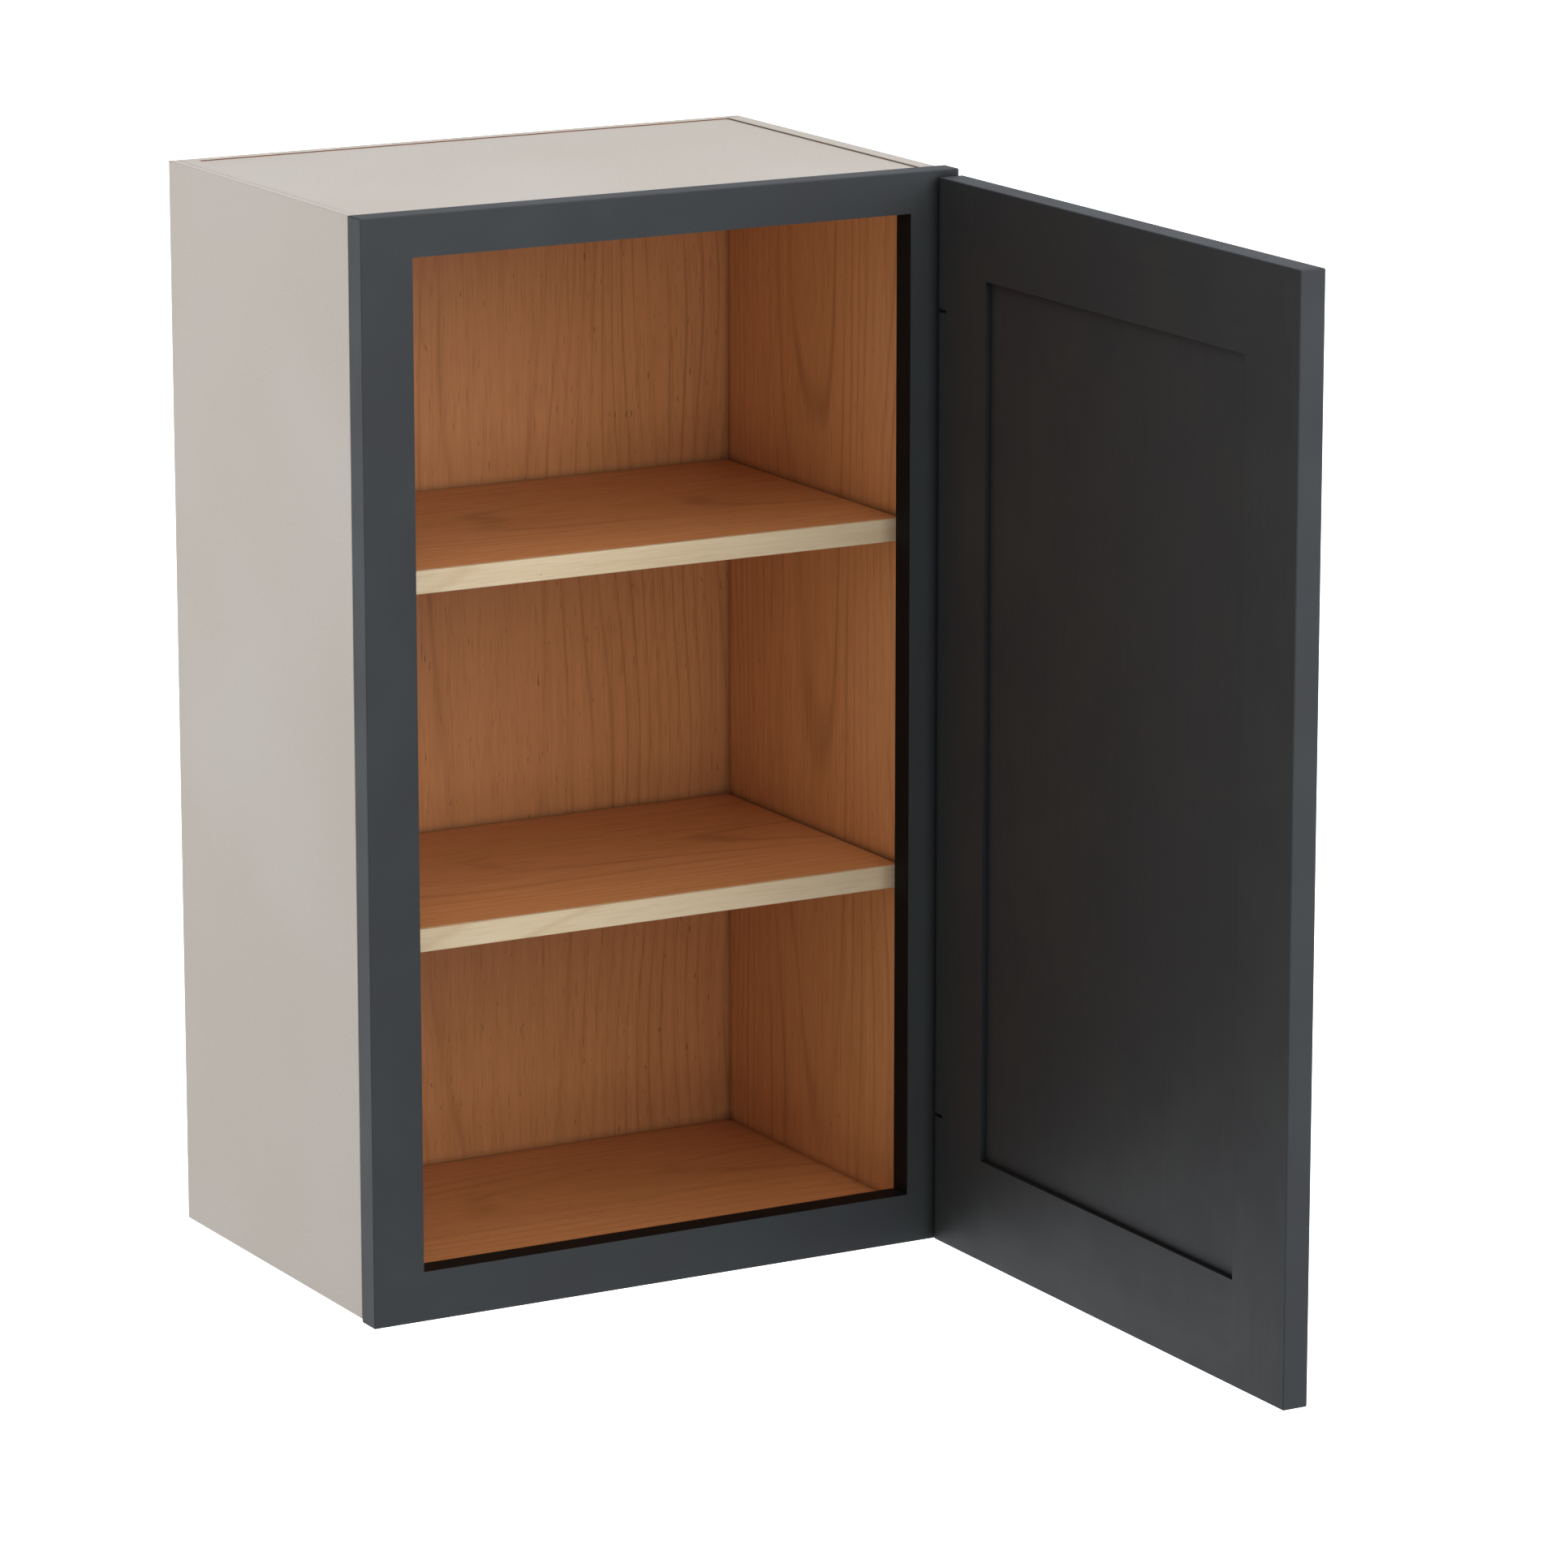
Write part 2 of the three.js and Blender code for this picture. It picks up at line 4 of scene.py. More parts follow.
import bmesh
import bpy
import numpy as np
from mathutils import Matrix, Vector


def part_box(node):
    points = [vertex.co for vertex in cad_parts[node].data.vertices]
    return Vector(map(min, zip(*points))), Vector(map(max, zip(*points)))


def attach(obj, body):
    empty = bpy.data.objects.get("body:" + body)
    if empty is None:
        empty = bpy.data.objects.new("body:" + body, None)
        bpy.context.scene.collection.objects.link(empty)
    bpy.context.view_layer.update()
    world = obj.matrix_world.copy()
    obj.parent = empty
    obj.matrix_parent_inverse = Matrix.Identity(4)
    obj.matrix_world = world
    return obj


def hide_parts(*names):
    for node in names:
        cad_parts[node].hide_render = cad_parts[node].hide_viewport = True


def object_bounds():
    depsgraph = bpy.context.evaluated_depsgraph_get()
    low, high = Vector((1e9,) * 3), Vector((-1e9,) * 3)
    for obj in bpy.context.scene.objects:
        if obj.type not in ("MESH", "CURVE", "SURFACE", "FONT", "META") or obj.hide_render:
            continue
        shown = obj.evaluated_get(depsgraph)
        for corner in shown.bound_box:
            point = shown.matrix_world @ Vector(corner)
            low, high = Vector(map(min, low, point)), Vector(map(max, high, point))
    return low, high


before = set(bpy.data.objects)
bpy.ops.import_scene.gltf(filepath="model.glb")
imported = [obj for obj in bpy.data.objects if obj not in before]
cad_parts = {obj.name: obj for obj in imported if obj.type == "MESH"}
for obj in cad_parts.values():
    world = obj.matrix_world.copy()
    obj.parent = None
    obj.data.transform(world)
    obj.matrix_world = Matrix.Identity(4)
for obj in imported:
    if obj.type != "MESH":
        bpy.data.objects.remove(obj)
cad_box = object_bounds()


# ---------------------------------------------------------------------------------------
# The studio. White card lies far below the cabinet, plain beneath it and lit from under
# further out. A cool sky, brighter on the right and in front, and three soft lamps light the
# cabinet, and the camera looks down at it from the left.

MM = 0.001
X, Y, Z = range(3)
cad_low, cad_high = (np.array(corner) for corner in cad_box)
FLOOR_DROP = 0.9
FLOOR_SPAN = 60.0
CARD_LIGHT_HEX = "#D2D2D1"
CARD_DARK_HEX = "#C8C8C7"
CARD_TOOTH_MM = 3
CARD_TOOTH_DEPTH = 0.05 * MM
CARD_ROUGHNESS = 0.95
CARD_SPECULAR = 0.1
CARD_GLOW = 1.6
GLOW_HEX = "#FFFFFF"
GLOW_CENTRE = Vector((-0.8, -4.2, 0.0))
GLOW_STARTS = 4.3
GLOW_FULL = 5.6
SKY_HEX = "#F6F9FF"
SKY_EVEN = 0.33
SKY_FROM_RIGHT = 1.80
SKY_FROM_FRONT = 0.62
LAMP_SIZE = 1.8
LAMP_HEX = "#FFF9F0"
# Each lamp's place and its watts.
LAMPS = [((0.9, -3.6, 1.1), 34.0), ((-0.9, -2.2, 2.9), 16.0), ((0.0, -1.2, 3.2), 17.0)]
CAMERA_AZIMUTH = math.radians(-29.4)
CAMERA_ELEVATION = math.radians(13.25)
CAMERA_DISTANCE = 5.067
CAMERA_LENS = 172.6
CAMERA_SENSOR = 36.0
AIM_OFFSET = Vector((0.0345, -0.0210, -0.0100))
NOISE_ROUGHNESS = 0.55
# Nearly all of a noise's values lie between these.
MOST_NOISE = (0.3, 0.7)
# Settings that many nodes share.
SMOOTH = {"interpolation_type": "SMOOTHSTEP"}
COLOURS = {"data_type": "RGBA"}


def linear(colour):
    """An sRGB hex colour as linear red, green, blue and alpha."""
    parts = np.array([int(colour[i:i + 2], 16) for i in (1, 3, 5)]) / 255
    low = parts / 12.92
    high = ((parts + 0.055) / 1.055) ** 2.4
    return (*np.where(parts <= 0.04045, low, high), 1.0)


def add(tree, kind, *values, **named):
    """Adds a node. A name in named is an input's label, in lower case with _ for a space, or
    else a setting of the node. values go in order to the inputs that the settings leave in
    use. Each is a number, a hex colour, a socket, or a node, for its first output in use."""
    node = tree.nodes.new("ShaderNode" + kind)
    labels = {socket.name.lower().replace(" ", "_"): socket for socket in reversed(node.inputs)}
    for setting in [name for name in named if name not in labels]:
        setattr(node, setting, named.pop(setting))
    in_use = [socket for socket in node.inputs if socket.enabled]
    labelled = [(labels[name], value) for name, value in named.items()]
    for socket, value in [*zip(in_use, values), *labelled]:
        if isinstance(value, bpy.types.Node):
            value = next(output for output in value.outputs if output.enabled)
        if isinstance(value, bpy.types.NodeSocket):
            tree.links.new(value, socket)
        else:
            socket.default_value = linear(value) if isinstance(value, str) else value
    return node


def new_material(name):
    """A material with no nodes yet, and the function that adds a node to it."""
    material = bpy.data.materials.new(name)
    material.use_nodes = True
    material.node_tree.nodes.clear()
    return material, partial(add, material.node_tree)


def lumps(node, sizes_mm, detail=2.0, shift=(0.0, 0.0, 0.0)):
    """A cloudy pattern, as values round one half: noise at a point that has been divided by
    sizes_mm, the lumps' sizes along X, Y and Z, and moved by shift."""
    place = node("Mapping", node("TexCoord").outputs["Object"], location=shift,
                 scale=[1 / (size * MM) for size in sizes_mm])
    return node("TexNoise", place, scale=1.0, detail=detail, roughness=NOISE_ROUGHNESS)


def even_lumps(node, size_mm, detail=2.0):
    """The same pattern with lumps that are size_mm across in every direction."""
    return lumps(node, [size_mm] * 3, detail)


def mesh_object(name, points, faces):
    """An object with a mesh made from arrays of points and of faces."""
    mesh = bpy.data.meshes.new(name)
    mesh.from_pydata(points.tolist(), [], faces.tolist())
    mesh.update()
    made = bpy.data.objects.new(name, mesh)
    bpy.context.scene.collection.objects.link(made)
    return made


def white_card():
    """Matt white card: a pale diffuse sheet with a faint tooth, lit from under further out."""
    material, node = new_material("white_card")
    tooth = even_lumps(node, CARD_TOOTH_MM)
    place = node("VectorMath", node("TexCoord").outputs["Object"], (1.0, 1.0, 0.0),
                 operation="MULTIPLY")
    away = node("VectorMath", place, GLOW_CENTRE, operation="DISTANCE")
    shader = node("BsdfPrincipled", roughness=CARD_ROUGHNESS, specular_ior_level=CARD_SPECULAR,
                  base_color=node("Mix", tooth, CARD_DARK_HEX, CARD_LIGHT_HEX, **COLOURS),
                  emission_color=GLOW_HEX, emission_strength=node(
                      "MapRange", away, GLOW_STARTS, GLOW_FULL, 0.0, CARD_GLOW, **SMOOTH),
                  normal=node("Bump", strength=1.0, distance=CARD_TOOTH_DEPTH, height=tooth))
    node("OutputMaterial", shader)
    return material


floor_corners = np.array([(-1, -1), (1, -1), (1, 1), (-1, 1)]) * FLOOR_SPAN / 2
floor_height = np.full((4, 1), cad_low[Z] - FLOOR_DROP)
floor = mesh_object("floor", np.hstack([floor_corners, floor_height]), np.array([[0, 1, 2, 3]]))
floor.data.materials.append(white_card())

scene = bpy.context.scene
scene.view_settings.view_transform = "Standard"
scene.world = bpy.data.worlds.new("soft_sky")
scene.world.use_nodes = True
scene.world.node_tree.nodes.clear()
sky_node = partial(add, scene.world.node_tree)
way = sky_node("SeparateXYZ", sky_node("TexCoord").outputs["Generated"]).outputs
brightness = SKY_EVEN
for axis, sign, most in ((X, 1.0, SKY_FROM_RIGHT), (Y, -1.0, SKY_FROM_FRONT)):
    turned_to = sky_node("Math", way[axis], sign, operation="MULTIPLY")
    facing = sky_node("Math", turned_to, 0.0, operation="MAXIMUM")
    brightness = sky_node("Math", facing, most, brightness, operation="MULTIPLY_ADD")
sky_node("OutputWorld", sky_node("Background", color=SKY_HEX, strength=brightness))

centre = Vector((cad_low + cad_high) / 2)
for place, watts in LAMPS:
    lamp = bpy.data.lights.new("soft_lamp", "AREA")
    lamp.shape = "DISK"
    lamp.size = LAMP_SIZE
    lamp.energy = watts
    lamp.color = linear(LAMP_HEX)[:3]
    lamp_object = bpy.data.objects.new("soft_lamp", lamp)
    lamp_object.location = place
    lamp_object.rotation_euler = (centre - Vector(place)).to_track_quat("-Z", "Y").to_euler()
    scene.collection.objects.link(lamp_object)

to_camera = Vector((math.sin(CAMERA_AZIMUTH) * math.cos(CAMERA_ELEVATION),
                    -math.cos(CAMERA_AZIMUTH) * math.cos(CAMERA_ELEVATION),
                    math.sin(CAMERA_ELEVATION)))
camera = bpy.data.objects.new("camera", bpy.data.cameras.new("camera"))
camera.data.lens = CAMERA_LENS
camera.data.sensor_width = CAMERA_SENSOR
camera.location = centre + AIM_OFFSET + to_camera * CAMERA_DISTANCE
camera.rotation_euler = (-to_camera).to_track_quat("-Z", "Y").to_euler()
scene.collection.objects.link(camera)
scene.camera = camera


# ---------------------------------------------------------------------------------------
# The box: two sides, top, bottom and back. Veneered board, honey-brown maple inside and a
# warm grey laminate outside. The ends of the top and bottom sit in dados in the sides and
# the back sits in rebates, all glued.

BOARD_EASE = 0.5 * MM
EASE_STEPS = 2
SKIN = 0.01 * MM
SAME_PLACE = SKIN / 10
FLAT_ENOUGH = math.radians(0.1)
LOOKS_THAT_WAY = 0.95
LEFT, RIGHT, FRONT, BACK, DOWN, UP = (
    (-1, 0, 0), (1, 0, 0), (0, -1, 0), (0, 1, 0), (0, 0, -1), (0, 0, 1))
MAPLE_COLOURS = ("#D69862", "#C28851", "#9D653C", "#693F24")
MAPLE_FLAT_COLOURS = ("#CD8C58", "#BA7D49", "#965C35", "#643A1F")
LAMINATE_HEX = "#C2BAB1"
LAMINATE_CLOUDED_HEX = "#F7F5F1"
# The paper's printed dots are finer, and are drawn this coarse so that they show.
LAMINATE_DOT_MM = 1.8
LAMINATE_CLOUD_MM = 160
LAMINATE_DOT_SHARE = 0.5
LAMINATE_GLOSS = (0.5, 0.6)
LAMINATE_SPECULAR = 0.3
LAMINATE_DEPTH = 0.02 * MM
RESIN_IOR = 1.5
WOOD_IOR = 1.5
RING_MM = 9.0
HALF_RING = 0.5
LINE_WIDTH = 0.13
SWAY = 60 * MM
RIPPLE = 3.5 * MM
# Reach and number of rays of the ambient occlusion that sets the painted shade in inside corners
# of the wood and the paint.
CORNER_MM = 9.0
CORNER_RAYS = 6
LACQUER_DEPTH = 0.03 * MM
# A maple cloud's size across and along the grain in mm, its detail, and a shift that sets it
# apart from the others. Real fibres and pores are finer, about 0.1 mm across, and are drawn
# this coarse so that they show.
MAPLE_CLOUDS = {
    "sway": (90, 340, 0.0, 0.0),
    "ripple": (40, 220, 1.0, 3.1),
    "fade": (34, 190, 1.0, 7.7),
    "fibres": (1.4, 55, 3.0, 1.7),
    "streaks": (5, 150, 2.0, 6.1),
    "broad": (60, 260, 2.0, 5.3),
    "pores": (0.9, 26, 1.0, 2.3),
    "specks": (1.5, 9, 0.0, 9.1),
}
# The two values between which a cloud or a measure counts, and the two that it is turned to.
MAPLE_RANGES = {
    "lines": (0.0, LINE_WIDTH, 1.0, 0.0),
    "fade": (0.36, 0.66, 0.08, 0.50),
    "tone": (0.5, 1.15, 0.0, 1.0),
    "pores": (0.58, 0.72, 0.0, 0.4),
    "specks": (0.80, 0.87, 0.0, 0.55),
    # Painted shade: the wood is darkened towards its darkest fleck colour where ambient
    # occlusion finds an inside corner.
    "corners": (0.15, 0.9, 0.85, 0.0),
    "gloss": (*MOST_NOISE, 0.36, 0.46),
}
# How far each of these darkens the wood, and how far the distance from a ring line pales it.
TONE_PARTS = {"fibres": 0.7, "streaks": 0.45, "broad": 0.4}
EARLY_WOOD = -0.2


def eased_box(low, high, radius):
    """A box with rounded edges. Each face is a grid of lines at the corner angles; a grid
    point is moved to lie radius away from the nearest point of the box shrunk by radius."""
    turn = np.tan(np.linspace(0, math.pi / 4, EASE_STEPS + 1)) * radius
    lines = [np.concatenate([low[i] + radius - turn[::-1], high[i] - radius + turn])
             for i in range(3)]
    count = len(lines[0])
    points, faces = [], []
    step_u, step_v = np.meshgrid(np.arange(count - 1), np.arange(count - 1), indexing="ij")
    corner = (step_u * count + step_v).ravel()
    quads = np.stack([corner, corner + count, corner + count + 1, corner + 1], axis=1)
    for axis in range(3):
        across, up = (axis + 1) % 3, (axis + 2) % 3
        for end, order in ((low, -1), (high, 1)):
            grid = np.zeros((count, count, 3))
            grid[..., across] = lines[across][:, None]
            grid[..., up] = lines[up][None, :]
            grid[..., axis] = end[axis]
            faces.append(quads[:, ::order] + sum(len(p) for p in points))
            points.append(grid.reshape(-1, 3))
    points = np.concatenate(points)
    core = np.clip(points, np.array(low) + radius, np.array(high) - radius)
    away = points - core
    points = core + radius * away / np.linalg.norm(away, axis=1, keepdims=True)
    _, first, where = np.unique(np.round(points / SAME_PLACE).astype(np.int64), axis=0,
                                return_index=True, return_inverse=True)
    return points[first], where.reshape(-1)[np.concatenate(faces)]


def merged_copy(node):
    """The node's solid as a new object with its loose triangles joined up."""
    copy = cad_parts[node].data.copy()
    shape = bmesh.new()
    shape.from_mesh(copy)
    bmesh.ops.remove_doubles(shape, verts=shape.verts, dist=SAME_PLACE)
    bmesh.ops.dissolve_limit(shape, angle_limit=FLAT_ENOUGH, verts=shape.verts,
                             edges=shape.edges)
    shape.to_mesh(copy)
    shape.free()
    made = bpy.data.objects.new(node + "_solid", copy)
    bpy.context.scene.collection.objects.link(made)
    return made


def eased_board(node, body, finishes, radius=BOARD_EASE, crisp=(), closed=()):
    """A board with its joinery as cut and its outside edges eased: the solid that it has in
    common with a round-edged box of its own size. finishes is a list of pairs, a material
    and the direction that its faces look; the first also takes the faces left over. The box
    runs past the board where crisp names a direction, so the edges there stay square. closed
    lists glue gaps to fill: an axis, the place of the board's face, and of its neighbour's."""
    low, high = (np.array(corner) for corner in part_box(node))
    for looks in crisp:
        low = low + np.minimum(looks, 0) * 2 * radius
        high = high + np.maximum(looks, 0) * 2 * radius
    solid = merged_copy(node)
    points = np.zeros(len(solid.data.vertices) * 3)
    solid.data.vertices.foreach_get("co", points)
    points = points.reshape(-1, 3)
    for axis, face, neighbour in closed:
        points[np.abs(points[:, axis] - face) < SKIN, axis] = neighbour
    solid.data.vertices.foreach_set("co", points.ravel())
    shell = mesh_object(node + "_shell", *eased_box(low + SKIN, high - SKIN, radius))
    meet = solid.modifiers.new("ease", "BOOLEAN")
    meet.operation = "INTERSECT"
    meet.solver = "EXACT"
    meet.object = shell
    bpy.context.view_layer.update()
    depsgraph = bpy.context.evaluated_depsgraph_get()
    mesh = bpy.data.meshes.new_from_object(solid.evaluated_get(depsgraph))
    for spare in (solid, shell):
        bpy.data.objects.remove(spare)
    mesh.name = node + "_board"
    mesh.materials.clear()
    normals = np.zeros(len(mesh.polygons) * 3)
    mesh.polygons.foreach_get("normal", normals)
    normals = normals.reshape(-1, 3)
    chosen = np.zeros(len(normals), dtype=np.int32)
    for index, (material, looks) in enumerate(finishes):
        mesh.materials.append(material)
        if looks is not None:
            chosen[normals @ np.array(looks, dtype=float) > LOOKS_THAT_WAY] = index
    mesh.polygons.foreach_set("material_index", chosen)
    mesh.polygons.foreach_set("use_smooth", np.zeros(len(normals), dtype=bool))
    board = bpy.data.objects.new(node + "_board", mesh)
    bpy.context.scene.collection.objects.link(board)
    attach(board, body)
    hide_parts(node)
    return board


def maple(name, colours, grain, across, heart, depth, lean, seed=0.0, raw_above=None):
    """Plain-sawn maple veneer under satin lacquer: soft growth lines that close into arches
    along the heart, fine fibres, pores and short dark flecks, and a painted shade that
    darkens it in inside corners. A line is where the distance to the log's middle is a whole
    number of rings, with the distance taken as the cube root of the sum of the two sides'
    cubes, which rounds the arches' ends. The log's middle lies at heart across the board and
    depth behind it, and leans nearer by lean for each unit of grain. Above the height
    raw_above it is the bare brown lip that stands past the top board."""
    material, node = new_material(name)
    light, mid, dark, fleck = colours
    place = node("SeparateXYZ", node("TexCoord").outputs["Object"]).outputs

    def cloud(which):
        cross, length, detail, turn = MAPLE_CLOUDS[which]
        sizes = [length if axis == grain else cross for axis in (X, Y, Z)]
        return lumps(node, sizes, detail, (seed + turn, seed - turn, seed))

    sway, ripple = (
        node("Math", cloud(which), reach, -reach / 2, operation="MULTIPLY_ADD")
        for which, reach in (("sway", SWAY), ("ripple", RIPPLE)))
    from_heart = node("Math", place[across], heart, operation="SUBTRACT")
    sideways = node("Math", from_heart, sway, operation="ADD")
    behind = node("Math", place[grain], -lean, depth, operation="MULTIPLY_ADD")
    cubes = [node("Math", node("Math", side, operation="ABSOLUTE"), 3.0, operation="POWER")
             for side in (sideways, behind)]
    radius = node("Math", node("Math", *cubes, operation="ADD"), 1 / 3, operation="POWER")
    rippled = node("Math", radius, ripple, operation="ADD")
    rings = node("Math", rippled, RING_MM * MM, operation="DIVIDE")
    from_line = node("Math", rings, HALF_RING, operation="PINGPONG")
    tone = node("Math", from_line, EARLY_WOOD, operation="MULTIPLY")
    clouds = {part: cloud(part) for part in TONE_PARTS}
    for part, weight in TONE_PARTS.items():
        tone = node("Math", clouds[part], weight, tone, operation="MULTIPLY_ADD")
    # Ambient occlusion, how open the surroundings are; it drives the painted shade in inside
    # corners.
    open_round = node("AmbientOcclusion", samples=CORNER_RAYS, distance=CORNER_MM * MM)
    measures = {"lines": from_line, "fade": cloud("fade"), "tone": tone, "pores": cloud("pores"),
                "specks": cloud("specks"), "corners": open_round.outputs["AO"],
                "gloss": clouds["fibres"]}
    shares = {part: node("MapRange", measure, *MAPLE_RANGES[part], **SMOOTH)
              for part, measure in measures.items()}
    lines = node("Math", shares["lines"], shares["fade"], operation="MULTIPLY")
    colour = node("Mix", shares["tone"], light, mid, **COLOURS)
    # The corner stain is painted shade, laid on where ambient occlusion finds the surroundings
    # shut in.
    stains = [(shares["pores"], dark), (lines, dark), (shares["specks"], fleck),
              (shares["corners"], fleck)]
    if raw_above is not None:
        stains.append((node("Math", place[Z], raw_above, operation="GREATER_THAN"), fleck))
    for share, stain in stains:
        colour = node("Mix", share, colour, stain, **COLOURS)
    node("OutputMaterial", node(
        "BsdfPrincipled", base_color=colour, ior=WOOD_IOR, roughness=shares["gloss"],
        normal=node("Bump", strength=1.0, distance=LACQUER_DEPTH, height=clouds["fibres"])))
    return material


def laminate(name, colour):
    """Matt melamine-faced board: a printed paper under resin, nearly even, with a fine
    random grain in its gloss and a barely uneven surface that softens what it reflects."""
    material, node = new_material(name)
    print_dots = even_lumps(node, LAMINATE_DOT_MM, detail=3.0)
    clouds = even_lumps(node, LAMINATE_CLOUD_MM, detail=1.0)
    cloudy = node("Math", clouds, 1 - LAMINATE_DOT_SHARE, operation="MULTIPLY")
    shade = node("Math", print_dots, LAMINATE_DOT_SHARE, cloudy, operation="MULTIPLY_ADD")
    clouded = node("Mix", 1.0, colour, LAMINATE_CLOUDED_HEX, blend_type="MULTIPLY", **COLOURS)
    base = node("Mix", node("MapRange", shade, *MOST_NOISE, 0.0, 1.0, **SMOOTH), colour, clouded,
                **COLOURS)
    node("OutputMaterial", node(
        "BsdfPrincipled", base_color=base, ior=RESIN_IOR,
        specular_ior_level=LAMINATE_SPECULAR,
        roughness=node("MapRange", print_dots, *MOST_NOISE, *LAMINATE_GLOSS, **SMOOTH),
        normal=node("Bump", strength=1.0, distance=LAMINATE_DEPTH, height=print_dots)))
    return material


lip_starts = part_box("top_panel")[1].z
maple_back = maple("maple_veneer_back", MAPLE_COLOURS, Z, X, heart=20 * MM, depth=45 * MM,
                   lean=0.035, raw_above=lip_starts)
maple_side = maple("maple_veneer_side", MAPLE_COLOURS, Z, Y, heart=-140 * MM, depth=40 * MM,
                   lean=0.035, seed=4.0, raw_above=lip_starts)
maple_flat = maple("maple_veneer_flat", MAPLE_FLAT_COLOURS, X, Y, heart=-130 * MM,
                   depth=60 * MM, lean=0.05, seed=8.0)
melamine = laminate("warm_grey_melamine", LAMINATE_HEX)

eased_board("side_left", "case", [(melamine, None), (maple_side, RIGHT)])
eased_board("side_right", "case", [(melamine, None), (maple_side, LEFT)])
eased_board("end_skin_left", "case", [(melamine, None)])
eased_board("top_panel", "case", [(melamine, None), (maple_flat, DOWN)])
eased_board("bottom_panel", "case", [(melamine, None), (maple_flat, UP)])
eased_board("back_panel", "case", [(melamine, None), (maple_back, FRONT)])


# ---------------------------------------------------------------------------------------
# The hanging rail: a solid maple batten glued under the top against the back. The two wall
# screws pass through its holes.

maple_rail = maple("solid_maple_rail", MAPLE_COLOURS, X, Z, heart=50 * MM, depth=30 * MM,
                   lean=0.05, seed=12.0)
eased_board("hanging_rail", "case", [(maple_rail, None)])


# ---------------------------------------------------------------------------------------
# Two loose shelves: veneered board with a pale strip of solid maple glued to the front edge.
# Each rests on four pins, so it can be lifted off them.

PALE_COLOURS = ("#D5C2A2", "#C9B18C", "#C0A782", "#80653F")
maple_edging = maple("pale_maple_edging", PALE_COLOURS, X, Y, heart=-240 * MM, depth=20 * MM,
                     lean=0.0, seed=16.0)
for level in ("lower", "upper"):
    eased_board(f"shelf_{level}", f"{level}_shelf", [(maple_flat, None)])
    eased_board(f"shelf_{level}_edge", f"{level}_shelf", [(maple_edging, None)])


# ---------------------------------------------------------------------------------------
# Eight shelf pins, turned from steel rod and nickel-plated: a peg in the side, a collar
# against it and a domed nose that the shelf lies on.

PIN_SIDES = 48
NOSE_DOME = 1.2 * MM
DOME_STEPS = 5
COLLAR_GAP = 0.1 * MM
COLLAR_TO_PEG = 1.4
COLLAR_BREAK = 0.3 * MM
PEG_CHAMFER = 0.5 * MM
SHARP_FROM = math.radians(40)
METAL_DARKER_HEX = "#D2D2D2"
METAL_GLOSS_SPREAD = (0.8, 1.25)


def metal(name, colour, roughness, marks_mm, depth):
    """A plated or ground metal with fine marks of its making, which break up its shine. Real
    marks are finer than marks_mm, which is coarse enough to show."""
    material, node = new_material(name)
    marks = lumps(node, marks_mm, detail=3.0)
    darker = node("Mix", 1.0, colour, METAL_DARKER_HEX, blend_type="MULTIPLY", **COLOURS)
    spread = [roughness * share for share in METAL_GLOSS_SPREAD]
    node("OutputMaterial", node(
        "BsdfPrincipled", base_color=node("Mix", marks, colour, darker, **COLOURS), metallic=1.0,
        roughness=node("MapRange", marks, *MOST_NOISE, *spread, **SMOOTH),
        normal=node("Bump", strength=1.0, distance=depth, height=marks)))
    return material


def turned(section, sides):
    """A surface of turning about X. section is rows of place along X and distance from it;
    each row becomes a ring, at angle 2 pi k over sides, and the ends close on the axis."""
    along, out = section.T
    angle = np.arange(sides) * 2 * math.pi / sides
    ring = np.stack([np.cos(angle), np.sin(angle)], axis=1)
    points = np.concatenate([
        np.repeat(along[:, None, None], sides, axis=1),
        out[:, None, None] * ring[None]], axis=2).reshape(-1, 3)
    rows, turns = np.meshgrid(np.arange(len(section) - 1), np.arange(sides), indexing="ij")
    here, there = rows * sides + turns, rows * sides + (turns + 1) % sides
    faces = np.stack([here, here + sides, there + sides, there], axis=-1).reshape(-1, 4)
    return points, faces


nickel = metal("nickel_plated_steel", "#C3C1BB", roughness=0.28, marks_mm=(0.5, 2.0, 2.0),
               depth=0.003 * MM)
for level in ("lower", "upper"):
    for side, outward, board in (("left", -1, "side_left"), ("right", 1, "side_right")):
        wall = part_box(board)[1 if outward < 0 else 0].x
        for row in ("front", "back"):
            node = f"shelf_pin_{level}_{side}_{row}"
            low, high = (np.array(corner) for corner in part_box(node))
            middle = (low + high) / 2
            collar = (high[2] - low[2]) / 2
            tip, end = (high[0], low[0]) if outward < 0 else (low[0], high[0])
            nose, peg_end = (tip - wall) * outward, (end - wall) * outward
            peg = collar / COLLAR_TO_PEG
            # The nose's edge is a quarter circle, from its end round to the collar's side.
            swing = np.linspace(math.pi / 2, 0, DOME_STEPS)
            dome = np.stack([nose + NOSE_DOME * (1 - np.sin(swing)),
                             collar - NOSE_DOME * (1 - np.cos(swing))], axis=1)
            section = np.concatenate([
                [(nose, 0.0)], dome,
                [(-COLLAR_GAP - COLLAR_BREAK, collar), (-COLLAR_GAP, collar - COLLAR_BREAK),
                 (-COLLAR_GAP, peg), (peg_end - PEG_CHAMFER, peg),
                 (peg_end, peg - PEG_CHAMFER), (peg_end, 0.0)]])
            points, faces = turned(section, PIN_SIDES)
            points[:, 0] = wall + outward * points[:, 0]
            points[:, 1:] += middle[1:]
            pin = mesh_object(node + "_turned", points, faces[:, ::-outward])
            pin.data.validate()
            pin.data.materials.append(nickel)
            pin.data.polygons.foreach_set("use_smooth", np.ones(len(pin.data.polygons), bool))
            pin.data.set_sharp_from_angle(angle=SHARP_FROM)
            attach(pin, "case")
            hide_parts(node)
